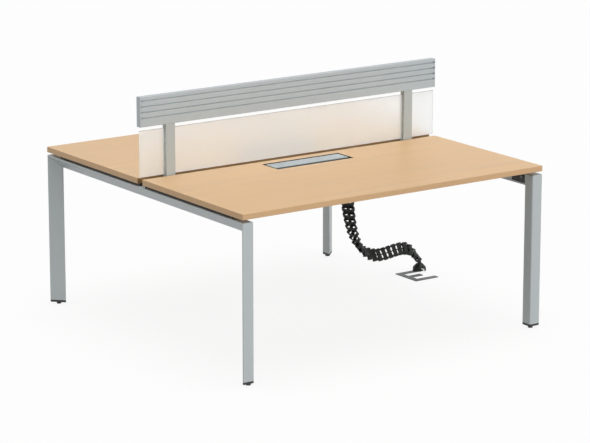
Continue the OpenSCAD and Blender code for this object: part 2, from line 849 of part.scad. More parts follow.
// Side view of a link's ring: its two ends stand taller than its middle, with slanted shoulders
module ring_side() {
    x = link_w / 2;
    mid = link_h / 2;
    high = link_end_h / 2;
    step = high - mid;
    tip = mid - over;
    tall = link_d / 4;
    polygon([[x + over, -tip], [x + over, tip], [x - step, high], [x - step - tall, high],
        [x - 2 * step - tall, mid], [2 * step + tall - x, mid], [step + tall - x, high],
        [step - x, high], [-x - over, tip], [-x - over, -tip], [step - x, -high],
        [step + tall - x, -high], [2 * step + tall - x, -mid], [x - 2 * step - tall, -mid],
        [x - step - tall, -high], [x - step, -high]]);
}

// Ring about the origin: a six-sided band round two chambers with the web between them
module link_ring() {
    intersection() {
        translate([0, 0, -link_end_h / 2]) linear_extrude(link_end_h) difference() {
            ring_outline(0);
            ring_outline(link_t);
        }
        translate([0, link_d, 0]) rotate([90, 0, 0]) linear_extrude(2 * link_d) ring_side();
    }
    translate([-web_t / 2, (link_t - link_d) / 2, -link_h / 2]) cube([web_t, link_d - link_t, link_h]);
}

// Hub round a ball at the origin
module hub() {
    translate([0, 0, hub_floor]) cylinder(r = hub_r, h = hub_top - hub_floor);
}

// Socket for a ball at the origin, its mouth open upward
module socket_cut() {
    sphere(r = ball_r + socket_gap);
    cylinder(r1 = neck_r, r2 = hub_r, h = 2 * ball_r);
}

// Ball at the origin under its neck
module ball(neck_top) {
    sphere(r = ball_r);
    cylinder(r = neck_r, h = neck_top);
}

// One link, hanging from the ball joint at the origin to the next one a pitch below
module spine_link() {
    difference() {
        union() {
            translate([0, 0, (hub_floor + hub_top) / 2]) rotate([0, link_skew, 0]) rotate([link_slant, 0, 0])
                link_ring();
            hub();
        }
        socket_cut();
    }
    translate([0, 0, -link_pitch]) ball(link_pitch + hub_floor + hub_wall / 2);
}

// Places a child at the bend's nth link
module at_link(n) {
    translate(joint_at(n)) rotate([0, -link_lean[n], 0]) rotate([0, 0, link_turn[n]]) children();
}

module spine_links() {
    color("dimgray") {
        for (i = [1:straight_n]) translate([spine_x, spine_y, bend_z + i * link_pitch])
            rotate([0, 0, link_turn[0]]) spine_link();
        for (i = [0:bend_n - 2]) at_link(i) spine_link();
    }
}

// Last link, above the bell
module spine_end_link() {
    color("dimgray") at_link(bend_n - 1) spine_link();
}

// Half distance between the screws of the spine's bracket
spine_screw_step = 28;

// Places a child at the spine bracket's screws, on the rear worktop's underside
module at_spine_screws() {
    for (sx = [-1, 1]) for (sy = [-1, 1])
        translate([spine_x + sx * spine_screw_step, spine_y + sy * spine_screw_step, under_z]) children();
}

// Plate under the rear worktop, with the hanger that ends in the first link's ball
module spine_bracket() {
    side = 2 * spine_screw_step + 3 * small_head_r;
    color("dimgray") {
        difference() {
            translate([spine_x - side / 2, spine_y - side / 2, under_z - bracket_t])
                cube([side, side, bracket_t]);
            at_spine_screws() translate([0, 0, -bracket_t - over])
                cylinder(r = small_r + fit, h = bracket_t + 2 * over);
        }
        translate([spine_x, spine_y, under_z - bracket_t - hanger_h]) ball(hanger_h + bracket_t / 2);
    }
}

module spine_screws() {
    color("silver") at_spine_screws() translate([0, 0, -bracket_t])
        bolt(small_r, small_bite + bracket_t - run, small_head_r, small_head_h);
}

spine_end = joint_at(bend_n);
bell_neck_r = 15;
bell_waist_r = 31;
bell_t = 3;
arch_w = 22;
arch_h = 18;
// Direction of the bell's arch, in degrees from +X
arch_turn = -95;
// Lean of the socket on the bell's crown towards the last link, in degrees
crown_lean = 24;

// Half section of the bell from the given foot, drawn in by the given wall: a steep skirt
// under a sloping shoulder
module bell_section(foot, inset) {
    polygon([[0, foot], [bell_r - inset, foot], [bell_waist_r - inset, (bell_h - inset) / 2],
        [bell_neck_r - inset, bell_h - inset], [0, bell_h - inset]]);
}

// Bell: an open skirt with a socket on its crown and an arch for the cables
module spine_bell() {
    color("dimgray") difference() {
        union() {
            translate([spine_end[0], spine_y, floor_t]) difference() {
                rotate_extrude() bell_section(0, 0);
                rotate_extrude() bell_section(-over, bell_t);
            }
            translate([spine_end[0], spine_y, floor_t + bell_h - bell_t])
                cylinder(r = hub_r, h = hub_r + bell_t);
            translate(spine_end) rotate([0, -crown_lean, 0]) hub();
        }
        translate(spine_end) rotate([0, -crown_lean, 0]) socket_cut();
        translate([spine_end[0], spine_y, floor_t]) rotate([0, 0, arch_turn]) {
            translate([0, -arch_w / 2, -over]) cube([bell_r + over, arch_w, arch_h - arch_w / 2 + over]);
            translate([0, 0, arch_h - arch_w / 2]) rotate([0, 90, 0])
                cylinder(r = arch_w / 2, h = bell_r + over);
        }
    }
}

// E-shaped plate on the floor, its rear prong under the bell
module spine_plate() {
    plate_x = spine_end[0] - prong_l;
    depth = 3 * prong_w + 2 * prong_gap;
    front_y = spine_y + prong_w / 2 - depth;
    reach_shares = [1, 0.71, 1.06];
    color("dimgray") {
        translate([plate_x, front_y, 0]) cube([prong_w, depth, floor_t]);
        for (i = [0:2]) translate([plate_x, front_y + i * (prong_w + prong_gap), 0])
            cube([prong_l * reach_shares[i], prong_w, floor_t]);
        translate([plate_x + prong_l * reach_shares[2], spine_y, 0]) cylinder(r = prong_w / 2, h = floor_t);
    }
}

front_worktop();
rear_worktop();
front_edge_band();
rear_edge_band();
leg_front_left();
leg_front_right();
leg_rear_left();
leg_rear_right();
rail_left();
rail_right();
corner_block_front_left();
corner_block_front_right();
corner_block_rear_left();
corner_block_rear_right();
corner_screws();
cap_front_left();
cap_front_right();
cap_rear_left();
cap_rear_right();
foot_front_left();
foot_front_right();
foot_rear_left();
foot_rear_right();
front_beam();
rear_beam();
beam_bolts();
beam_spacers();
worktop_screws();
pad_front_left();
pad_front_right();
pad_rear_left();
pad_rear_right();
post_left();
post_right();
clamp_bar_left();
clamp_bar_right();
clamp_bolts();
post_bracket_left();
post_bracket_right();
bracket_screws();
post_bolts();
screen();
toolbar();
toolbar_cap_left();
toolbar_cap_right();
toolbar_bolts();
front_hatch_collar();
rear_hatch_collar();
front_hatch_lid();
rear_hatch_lid();
hatch_pins();
front_brush();
rear_brush();
collar_screws();
spine_bracket();
spine_links();
spine_end_link();
spine_bell();
spine_plate();
spine_screws();
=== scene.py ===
import json
import math

import bmesh
import bpy
from mathutils import Matrix, Vector


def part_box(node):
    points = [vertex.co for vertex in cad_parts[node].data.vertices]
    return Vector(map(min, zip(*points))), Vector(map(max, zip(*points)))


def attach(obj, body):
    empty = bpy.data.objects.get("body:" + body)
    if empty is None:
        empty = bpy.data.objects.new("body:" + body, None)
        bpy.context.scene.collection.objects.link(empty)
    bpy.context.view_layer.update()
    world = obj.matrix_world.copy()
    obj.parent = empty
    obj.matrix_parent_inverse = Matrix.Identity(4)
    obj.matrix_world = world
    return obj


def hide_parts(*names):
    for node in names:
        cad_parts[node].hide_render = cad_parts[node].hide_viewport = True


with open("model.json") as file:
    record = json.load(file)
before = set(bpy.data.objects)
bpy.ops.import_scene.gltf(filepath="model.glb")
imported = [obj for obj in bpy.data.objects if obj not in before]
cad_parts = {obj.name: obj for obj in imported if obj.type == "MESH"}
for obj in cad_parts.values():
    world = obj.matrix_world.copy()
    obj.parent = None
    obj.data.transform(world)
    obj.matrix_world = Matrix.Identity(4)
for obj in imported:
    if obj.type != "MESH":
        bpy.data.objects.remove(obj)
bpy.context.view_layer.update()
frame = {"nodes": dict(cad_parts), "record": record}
NODES = frame["nodes"]
BODIES = frame["record"]["behaviour"]["bodies"]
CORNERS = ("front_left", "front_right", "rear_left", "rear_right")
ENDS = ("left", "right")
SIDES = ("front", "rear")
GAP_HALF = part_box("rear_edge_band")[0].y
SCREEN_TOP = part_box("screen")[1].z
WELD = 1e-6
CLOSE = 10 * WELD


def make_object(name, mesh):
    thing = bpy.data.objects.new(name, mesh)
    bpy.context.scene.collection.objects.link(thing)
    return thing


# Camera, floor and lamps. Places are in metres and angles in degrees.

CAMERA_PLACE = (-7.0622, -10.1299, 3.4793)
CAMERA_DIP = 13.832
CAMERA_TURN = 34.966
LENS_MM = 171.61
SENSOR_MM = 36.0

# The floor's tone in the light that it throws back, then its tone and glow where it is seen
FLOOR_REACH = 60.0
FLOOR_DROP = 0.0004
FLOOR_LIT = 0.38
FLOOR_SEEN = 0.96
FLOOR_GLOW = 0.88

STUDIO_LIGHT = 0.42
OVERHEAD_LAMP = {"toward": (0.0, -0.02, 0.44), "width": 50}
FRONT_LAMP = {"toward": (0.1, -0.34, 0.04), "width": 30}

WHITE = (1.0, 1.0, 1.0, 1.0)


def set_camera():
    """The photograph's viewpoint: in front of the desk and to its left, above the screen."""
    data = bpy.data.cameras.new("camera")
    data.sensor_width = SENSOR_MM
    data.lens = LENS_MM
    camera = make_object("camera", data)
    camera.location = CAMERA_PLACE
    camera.rotation_euler = (math.radians(90 - CAMERA_DIP), 0, -math.radians(CAMERA_TURN))
    bpy.context.scene.camera = camera


set_camera()
bpy.context.scene.view_settings.view_transform = "Standard"


def linear(red, green, blue):
    """A display colour, 0 to 255, as the shader's linear colour with alpha."""
    def one(value):
        value /= 255
        return value / 12.92 if value <= 0.04045 else ((value + 0.055) / 1.055) ** 2.4
    return (one(red), one(green), one(blue), 1.0)


def grey(value):
    return (value, value, value, 1.0)


def shade(colour, factor):
    """The colour made darker or lighter by a factor."""
    return tuple(min(1.0, c * factor) for c in colour[:3]) + (1.0,)


class Graph:
    """A node tree that is filled from node types, settings and socket values or links."""

    def __init__(self, tree):
        self.tree = tree
        tree.nodes.clear()

    def node(self, kind, settings=(), sockets=()):
        made = self.tree.nodes.new(kind)
        for name, value in dict(settings).items():
            setattr(made, name, value)
        for key, value in dict(sockets).items():
            self.put(made.inputs[key], value)
        return made

    def put(self, socket, value):
        if isinstance(value, Term):
            value = value.socket
        if isinstance(value, bpy.types.NodeSocket):
            self.tree.links.new(value, socket)
        else:
            socket.default_value = value


class Term:
    """A socket that takes part in plain arithmetic."""

    def __init__(self, graph, socket):
        self.graph = graph
        self.socket = socket

    def math(self, operation, *values):
        made = self.graph.node("ShaderNodeMath", {"operation": operation}, enumerate(values))
        return Term(self.graph, made.outputs[0])

    def __add__(self, other):
        return self.math("ADD", self, other)

    def __radd__(self, other):
        return self.math("ADD", other, self)

    def __sub__(self, other):
        return self.math("SUBTRACT", self, other)

    def __rsub__(self, other):
        return self.math("SUBTRACT", other, self)

    def __mul__(self, other):
        return self.math("MULTIPLY", self, other)

    def __rmul__(self, other):
        return self.math("MULTIPLY", other, self)

    def __abs__(self):
        return self.math("ABSOLUTE", self)

    def below(self, limit):
        return self.math("LESS_THAN", self, limit)

    def above(self, limit):
        return self.math("GREATER_THAN", self, limit)

    def at_most(self, limit):
        return self.math("MINIMUM", self, limit)

    def spread(self, low, high, to_low=0.0, to_high=1.0):
        """Maps low..high smoothly to to_low..to_high and holds the ends."""
        made = self.graph.node("ShaderNodeMapRange", {"interpolation_type": "SMOOTHSTEP"}, {
            0: self, 1: low, 2: high, 3: to_low, 4: to_high})
        return Term(self.graph, made.outputs[0])


def shown(graph):
    """One for the rays that show the background, straight or through gloss or glass."""
    rays = graph.node("ShaderNodeLightPath").outputs
    straight = Term(graph, rays["Is Camera Ray"])
    gloss = Term(graph, rays["Is Glossy Ray"])
    glass = Term(graph, rays["Is Transmission Ray"])
    return (straight + gloss + glass).at_most(1.0)


def make_floor():
    """A plain pale floor that shows white and keeps the desk's soft shadow."""
    mesh = bpy.data.meshes.new("floor")
    far = FLOOR_REACH
    corners = [(-far, -far, 0), (far, -far, 0), (far, far, 0), (-far, far, 0)]
    mesh.from_pydata(corners, [], [(0, 1, 2, 3)])
    floor = make_object("floor", mesh)
    floor.location.z = -FLOOR_DROP
    material = bpy.data.materials.new("pale floor")
    material.use_nodes = True
    graph = Graph(material.node_tree)
    seen = shown(graph)
    tone = graph.node("ShaderNodeMix", {"data_type": "RGBA"}, {
        0: seen, 6: grey(FLOOR_LIT), 7: grey(FLOOR_SEEN)})
    matt = graph.node("ShaderNodeBsdfDiffuse", sockets={"Color": tone.outputs[2]})
    glow = graph.node("ShaderNodeEmission", sockets={"Color": WHITE, "Strength": 1.0})
    mixed = graph.node("ShaderNodeMixShader", sockets={
        0: seen * FLOOR_GLOW, 1: matt.outputs[0], 2: glow.outputs[0]})
    graph.node("ShaderNodeOutputMaterial", sockets={"Surface": mixed.outputs[0]})
    mesh.materials.append(material)


def add_lamp(name, toward, width):
    """A distant lamp, as strong as its direction is long and as wide as the angle given."""
    toward = Vector(toward)
    lamp = bpy.data.lights.new(name, "SUN")
    lamp.energy = toward.length * math.pi
    lamp.angle = math.radians(width)
    make_object(name, lamp).rotation_euler = toward.to_track_quat("Z", "Y").to_euler()


def make_light():
    """Even studio light from all round, a broad lamp overhead and a weaker one at the front."""
    world = bpy.data.worlds.new("studio")
    bpy.context.scene.world = world
    world.use_nodes = True
    graph = Graph(world.node_tree)
    around = graph.node("ShaderNodeBackground", sockets={
        "Color": WHITE, "Strength": STUDIO_LIGHT})
    behind = graph.node("ShaderNodeBackground", sockets={"Color": WHITE, "Strength": 1.0})
    mixed = graph.node("ShaderNodeMixShader", sockets={
        0: shown(graph), 1: around.outputs[0], 2: behind.outputs[0]})
    graph.node("ShaderNodeOutputWorld", sockets={"Surface": mixed.outputs[0]})
    add_lamp("overhead lamp", **OVERHEAD_LAMP)
    add_lamp("front lamp", **FRONT_LAMP)


make_floor()
make_light()


# Finishes. Bump distances are in metres.

# Where most values of a noise lie
MIDDLE = (0.3, 0.7)

# The mitre lines of the end frames, the heights between which the screen turns paler as its
# painted shade fades out, and the width of its top rim painted dark as shade
MITRE_OFFSET = 0.096
MITRE_HALF_WIDTH = 0.0005
MITRE_FROM = 0.64
SCREEN_SHADE_FADE = (0.747, 0.953)
SCREEN_SHADED_RIM = 0.0009


class Finish(Graph):
    """A material with one Principled shader, its patterns on the piece's own coordinates."""

    def __init__(self, name, colour, roughness, metallic=0.0, **fixed):
        self.material = bpy.data.materials.new(name)
        self.material.use_nodes = True
        super().__init__(self.material.node_tree)
        self.shader = self.node("ShaderNodeBsdfPrincipled", sockets={
            "Base Color": colour, "Roughness": roughness, "Metallic": metallic})
        for key, value in fixed.items():
            self.shader.inputs[key.replace("_", " ")].default_value = value
        self.node("ShaderNodeOutputMaterial", sockets={"Surface": self.shader.outputs[0]})
        self.place = self.node("ShaderNodeTexCoord").outputs["Object"]
        split = self.node("ShaderNodeSeparateXYZ", sockets={0: self.place}).outputs
        self.y, self.z = Term(self, split["Y"]), Term(self, split["Z"])

    def noise(self, scale, detail=2.0, rough=0.5, warp=0.0, place=None):
        made = self.node("ShaderNodeTexNoise", sockets={
            "Vector": place or self.place, "Scale": scale, "Detail": detail,
            "Roughness": rough, "Distortion": warp})
        return Term(self, made.outputs[0])

    def grain(self, stretch, detail, rough, warp=0.0):
        """Noise with its own scale along each axis."""
        place = self.node("ShaderNodeMapping", sockets={"Vector": self.place, "Scale": stretch})
        return self.noise(1.0, detail, rough, warp, place.outputs[0])

    def cells(self, scale):
        made = self.node("ShaderNodeTexVoronoi", sockets={"Vector": self.place, "Scale": scale})
        return Term(self, made.outputs["Distance"])

    def blend(self, mask, low, high):
        made = self.node("ShaderNodeMix", {"data_type": "RGBA"}, {0: mask, 6: low, 7: high})
        return Term(self, made.outputs[2])

    def tint(self, colour):
        self.put(self.shader.inputs["Base Color"], colour)

    def rough(self, value):
        self.put(self.shader.inputs["Roughness"], value)

    def bump(self, height, distance):
        made = self.node("ShaderNodeBump", sockets={
            "Height": height, "Strength": 1.0, "Distance": distance})
        self.put(self.shader.inputs["Normal"], made.outputs[0])


def beech(name, colour, cross=1.0, painted_gap_shade=None):
    """Beech decor with its grain along the desk, fine pale and dark streaks and short flecks.

    The streaks are narrower by the factor cross. The edges that face each other across the
    cable gap are painted with a darker colour for the shade between the boards, if one is
    given.
    """
    f = Finish(name, colour, roughness=0.42)
    streaks = f.grain((2.2, 46 * cross, 60), detail=4.0, rough=0.6, warp=0.6)
    broad = f.grain((0.7, 7, 9), detail=2.0, rough=0.5, warp=0.8)
    flecks = f.grain((75, 900, 900), detail=1.0, rough=0.4).spread(0.66, 0.76)
    tone = f.blend(streaks.spread(0.36, 0.66), shade(colour, 0.93), shade(colour, 1.045))
    tone = f.blend(broad.spread(*MIDDLE), tone, shade(colour, 1.01))
    tone = f.blend(flecks * 0.5, tone, shade(colour, 0.66))
    # Painted shade: the faces in the cable gap take a darker colour for the shade that falls
    # between the boards.
    if painted_gap_shade:
        tone = f.blend(abs(f.y).below(GAP_HALF + WELD), tone, painted_gap_shade)
    f.tint(tone)
    f.rough(streaks.spread(*MIDDLE, 0.38, 0.46))
    f.bump(flecks * -1.0 + streaks * 0.3, 0.00006)
    return f.material


def powder_coat(name, colour, roughness=0.42, metallic=0.15):
    """Powder coat: fine sparkle, a faint orange-peel skin and the mitre lines of the frames.

    A mitre lies where the distance from the desk's middle less the height is one number.
    """
    f = Finish(name, colour, roughness, metallic)
    sparkle = f.noise(5200.0, detail=1.0)
    skin = f.noise(700.0, rough=0.55)
    tone = f.blend(sparkle.spread(0.35, 0.65), shade(colour, 0.95), shade(colour, 1.05))
    off_mitre = abs(abs(f.y) - f.z - MITRE_OFFSET)
    seam = off_mitre.below(MITRE_HALF_WIDTH) * f.z.above(MITRE_FROM)
    f.tint(f.blend(seam * 0.6, tone, shade(colour, 0.3)))
    f.rough(sparkle.spread(*MIDDLE, roughness - 0.05, roughness + 0.05))
    f.bump(skin, 0.00004)
    return f.material


def anodised(name, colour, roughness=0.38, metallic=0.3, **fixed):
    """Satin anodised aluminium with fine drawn lines along the desk."""
    f = Finish(name, colour, roughness, metallic, **fixed)
    lines = f.grain((3, 2600, 2600), detail=3.0, rough=0.6)
    cloud = f.noise(9.0)
    tone = f.blend(lines.spread(*MIDDLE), shade(colour, 0.95), shade(colour, 1.04))
    f.tint(f.blend(cloud.spread(*MIDDLE), tone, shade(colour, 1.02)))
    f.rough(lines.spread(*MIDDLE, roughness - 0.06, roughness + 0.06))
    f.bump(lines, 0.00002)
    return f.material


def moulded(name, colour, roughness=0.5, **fixed):
    """Moulded plastic with a fine spark-eroded grain and slight wear."""
    f = Finish(name, colour, roughness, **fixed)
    eroded = f.cells(1500.0)
    worn = f.noise(38.0, detail=3.0, rough=0.6)
    f.tint(f.blend(worn.spread(0.45, 0.75), colour, shade(colour, 1.35)))
    f.rough(worn.spread(*MIDDLE, roughness - 0.08, roughness + 0.06))
    f.bump(eroded, 0.00006)
    return f.material


def plated(name, colour):
    """Zinc plate on small fasteners, slightly clouded."""
    f = Finish(name, colour, roughness=0.32, metallic=0.9)
    cloud = f.noise(260.0, detail=3.0)
    f.tint(f.blend(cloud.spread(*MIDDLE), shade(colour, 0.86), colour))
    f.rough(cloud.spread(*MIDDLE, 0.26, 0.42))
    return f.material


def frosted(name, colour):
    """Frosted screen: a satin etched face that lets soft light through, painted shade that
    darkens it towards its foot, and a top rim painted dark as shade.
    """
    f = Finish(name, colour, roughness=0.66, Transmission_Weight=0.8, IOR=1.3,
               Coat_Weight=1.0, Coat_Roughness=0.5)
    etch = f.noise(2600.0)
    # Painted shade: the screen is darker towards its foot and turns paler upwards.
    tone = f.blend(f.z.spread(*SCREEN_SHADE_FADE), shade(colour, 0.97), colour)
    tone = f.blend(etch.spread(*MIDDLE), tone, shade(colour, 1.02))
    # Painted shade: a dark band over the screen's top rim.
    f.tint(f.blend(f.z.above(SCREEN_TOP - SCREEN_SHADED_RIM), tone, shade(colour, 0.35)))
    f.rough(etch.spread(*MIDDLE, 0.62, 0.7))
    f.bump(etch, 0.00002)
    return f.material


FINISHES = {
    "worktop": beech("beech decor", linear(225, 184, 134)),
    # The edge band's last colour is painted shade, for its faces in the cable gap.
    "edge": beech("beech edge band", linear(226, 184, 136), 1.6, linear(150, 113, 68)),
    "frame": powder_coat("silver powder coat", linear(195, 202, 203)),
    "post": powder_coat("post powder coat", linear(187, 194, 193)),
    "bracket": powder_coat("bracket coat", linear(96, 99, 100), 0.5, 0.2),
    "toolbar": anodised("toolbar anodised", linear(183, 191, 194)),
    "hatch": anodised("hatch anodised", linear(178, 187, 190)),
    # Painted shade: the hatch collars take a near-black colour that stands for the shadow gap
    # round each lid.
    "collar": anodised("collar, anodised black", linear(30, 32, 31), 0.5, 0.0,
                       Specular_IOR_Level=0.25),
    "black": moulded("black moulding", linear(38, 39, 38)),
    "spine": moulded("spine plastic", linear(32, 36, 33), Specular_IOR_Level=0.3),
    "zinc": plated("zinc plate", linear(196, 198, 198)),
    "screw": plated("dark screw plate", linear(120, 124, 124)),
    "screen": frosted("frosted screen", linear(251, 254, 255)),
    "bristle": moulded("nylon bristle", linear(36, 36, 35), 0.65, Specular_IOR_Level=0.2),
    "plate": powder_coat("floor plate coat", linear(108, 111, 111), 0.5, 0.25),
}


def each(stem, spots):
    """The nodes of one kind, one at every spot."""
    return ["%s_%s" % (stem, spot) for spot in spots]


def both(stem):
    """The nodes of one kind, at the front and at the rear."""
    return ["%s_%s" % (side, stem) for side in SIDES]


LOOKS = {
    "worktop": both("worktop"),
    "edge": both("edge_band"),
    "frame": each("leg", CORNERS) + each("rail", ENDS) + both("beam"),
    "post": each("post", ENDS) + each("clamp_bar", ENDS),
    "bracket": each("post_bracket", ENDS),
    "toolbar": ["toolbar"] + each("toolbar_cap", ENDS),
    "hatch": both("hatch_lid"),
    "collar": both("hatch_collar"),
    "black": each("corner_block", CORNERS) + each("cap", CORNERS) + each("foot", CORNERS)
    + each("pad", CORNERS) + ["beam_spacers"],
    "spine": ["spine_bracket", "spine_links", "spine_end_link", "spine_bell"],
    "zinc": ["beam_bolts", "worktop_screws", "clamp_bolts", "bracket_screws", "post_bolts",
             "toolbar_bolts", "collar_screws", "spine_screws", "hatch_pins"],
    "screw": ["corner_screws"],
    "screen": ["screen"],
    "bristle": both("brush"),
    "plate": ["spine_plate"],
}
LOOK_OF = {name: look for look, names in LOOKS.items() for name in names}
BODY_OF = {name: body for body, names in BODIES.items() for name in names}


def dress(thing, look):
    """Gives an object one finish all over."""
    thing.data.materials.clear()
    thing.data.materials.append(FINISHES[look])


for name, look in LOOK_OF.items():
    dress(NODES[name], look)


# Pieces that stand for CAD nodes, with edges broken over the widths given here

FLAT = math.radians(0.5)
SHARP = math.radians(35)
BAND_EASE = 0.0012
BRUSH_EASE = 0.0005
LINK_EASE = 0.0005
EASED = {
    0.0006: each("clamp_bar", ENDS) + each("post", ENDS) + each("toolbar_cap", ENDS)
    + each("cap", CORNERS) + each("foot", CORNERS),
    0.0008: ["screen", "spine_plate", "spine_bell"] + each("corner_block", CORNERS)
    + each("post_bracket", ENDS) + each("pad", CORNERS),
    0.0004: ["%s_hatch_%s" % (side, part) for side in SIDES for part in ("collar", "lid")],
}


def stand_for(piece, *names):
    """Lets a piece stand for CAD nodes, on their body and in their finish and slot."""
    dress(piece, LOOK_OF[names[0]])
    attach(piece, BODY_OF[names[0]])
    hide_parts(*names)


def welded(name):
    """A copy of a node's mesh, with its loose triangles joined and its flat faces whole."""
    shape = bmesh.new()
    shape.from_mesh(NODES[name].data)
    bmesh.ops.remove_doubles(shape, verts=shape.verts, dist=WELD)
    bmesh.ops.dissolve_limit(shape, angle_limit=FLAT, verts=shape.verts, edges=shape.edges)
    return shape


def settle(name, shape):
    """Turns a shape that is being worked on into an object."""
    mesh = bpy.data.meshes.new(name)
    shape.to_mesh(mesh)
    shape.free()
    return make_object(name, mesh)


def ease(shape, width, chosen=None, steps=2):
    """Rounds the sharp edges of a shape over the given width, in a number of steps."""
    edges = [e for e in shape.edges if len(e.link_faces) == 2 and e.calc_face_angle(0) > SHARP]
    if chosen:
        edges = [e for e in edges if chosen(e)]
    bmesh.ops.bevel(shape, geom=edges, offset=width, segments=steps, profile=0.5,
                    affect="EDGES", clamp_overlap=True)


def soften(name, width, chosen=None):
    """Stands a copy with softly broken edges in for a CAD node."""
    shape = welded(name)
    ease(shape, width, chosen)
    stand_for(settle(name + "_eased", shape), name)


def on_rim(name):
    """Picks the edges on the four outer sides of a node."""
    low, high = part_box(name)

    def outer(corner):
        return any(min(abs(corner.co[k] - low[k]), abs(corner.co[k] - high[k])) < WELD
                   for k in (0, 1))
    return lambda edge: all(outer(corner) for corner in edge.verts)


def soften_edges():
    for width, names in EASED.items():
        for name in names:
            soften(name, width)
    for name in both("edge_band"):
        soften(name, BAND_EASE, on_rim(name))


soften_edges()


# Pieces that repeat, each set made by one tree of Geometry Nodes


class Tree(Graph):
    """A Geometry Nodes tree with named sizes. What it makes is baked to a plain mesh."""

    def __init__(self, name, **sizes):
        super().__init__(bpy.data.node_groups.new(name, "GeometryNodeTree"))
        face = self.tree.interface
        face.new_socket("Geometry", in_out="OUTPUT", socket_type="NodeSocketGeometry")
        face.new_socket("Geometry", in_out="INPUT", socket_type="NodeSocketGeometry")
        self.keys = {}
        for label, first in sizes.items():
            kind = "Int" if isinstance(first, int) else "Object" if first is None else "Float"
            socket = face.new_socket(label, in_out="INPUT", socket_type="NodeSocket" + kind)
            if first is not None:
                socket.default_value = first
            self.keys[label] = socket.identifier
        self.given = self.tree.nodes.new("NodeGroupInput")
        self.base = self.given.outputs[0]

    def size(self, label):
        return Term(self, self.given.outputs[label])

    def make(self, kind, settings=(), sockets=()):
        """The first output of a new node."""
        return self.node(kind, settings, sockets).outputs[0]

    def vector(self, x=0.0, y=0.0, z=0.0):
        return self.make("ShaderNodeCombineXYZ", sockets={0: x, 1: y, 2: z})

    def rod(self, sides, radius, length, start, rings=1):
        """A rod along Z from the given height."""
        rod = self.make("GeometryNodeMeshCylinder", sockets={
            "Vertices": sides, "Side Segments": rings, "Radius": radius, "Depth": length})
        return self.raised(rod, start + length * 0.5)

    def cone(self, sides, top, bottom, length):
        return self.make("GeometryNodeMeshCone", sockets={
            "Vertices": sides, "Radius Top": top, "Radius Bottom": bottom, "Depth": length})

    def raised(self, geometry, height):
        return self.make("GeometryNodeTransform", sockets={
            "Geometry": geometry, "Translation": self.vector(z=height)})

    def cut(self, whole, tool):
        """The whole with the tool's shape taken out of it."""
        return self.make("GeometryNodeMeshBoolean", {
            "operation": "DIFFERENCE", "solver": "EXACT"}, {"Mesh 1": whole, "Mesh 2": tool})

    def join(self, *parts):
        joined = self.node("GeometryNodeJoinGeometry")
        for part in parts:
            self.tree.links.new(part, joined.inputs[0])
        return joined.outputs[0]

    def given_object(self, label):
        """The mesh of an object that is one of the tree's inputs."""
        info = self.node("GeometryNodeObjectInfo", sockets={"Object": self.size(label)})
        return info.outputs["Geometry"]

    def kept(self, name):
        """The vector that was kept with each point under a name."""
        return self.make("GeometryNodeInputNamedAttribute", {
            "data_type": "FLOAT_VECTOR"}, {"Name": name})

    def heading(self, wobble=None):
        """A turn of Z to the direction that was kept with each point."""
        along = self.kept("along")
        if wobble is not None:
            along = self.make("ShaderNodeVectorMath", {"operation": "ADD"}, {
                0: along, 1: wobble})
        return self.make("FunctionNodeAlignRotationToVector", {"axis": "Z"}, {"Vector": along})

    def repeat(self, shape, turn, look, whole=None):
        """Sets the shape on each point, or cuts it out of a whole there, and ends the tree."""
        copies = self.make("GeometryNodeInstanceOnPoints", sockets={
            "Points": self.base, "Instance": shape, "Rotation": turn})
        real = self.make("GeometryNodeRealizeInstances", sockets={0: copies})
        if whole is not None:
            real = self.cut(whole, real)
        dressed = self.make("GeometryNodeSetMaterial", sockets={
            "Geometry": real, "Material": FINISHES[look]})
        self.tree.links.new(dressed, self.tree.nodes.new("NodeGroupOutput").inputs[0])
        return self

    def grow(self, name, points, kept, **sizes):
        """Bakes the tree on points, with the vectors that are kept with them."""
        seeds = bpy.data.meshes.new(name + "_points")
        seeds.from_pydata([tuple(p) for p in points], [], [])
        for label, values in kept.items():
            column = seeds.attributes.new(label, "FLOAT_VECTOR", "POINT")
            column.data.foreach_set("vector", [c for value in values for c in value])
        holder = make_object(name + "_points", seeds)
        modifier = holder.modifiers.new(name, "NODES")
        modifier.node_group = self.tree
        for label, value in sizes.items():
            modifier[self.keys[label]] = value
        ready = holder.evaluated_get(bpy.context.evaluated_depsgraph_get())
        mesh = bpy.data.meshes.new_from_object(ready)
        holder.modifiers.remove(modifier)
        bpy.data.objects.remove(holder)
        mesh.name = name
        return make_object(name, mesh)


# Screws and bolts. Shares are of the head's height, or of the radius or length they shape.

HEAD_SIDES = 28
HEAD_RINGS = 4
SHANK_SIDES = 16
RIM_SHARE = 0.1
RIM_DRAWN_IN = 0.12
KEY_DEPTH = 0.65
SHANK_START = 0.98
STRAIGHT_SHARE = 0.9
TIP_SHARE = 0.6

# The axis that each lies along, and the sides of its key socket
FASTENERS = {
    "corner_screws": (0, 6), "beam_bolts": (0, 6), "clamp_bolts": (1, 6), "post_bolts": (1, 6),
    "worktop_screws": (2, 6), "bracket_screws": (2, 4), "collar_screws": (2, 4),
    "spine_screws": (2, 4),
}


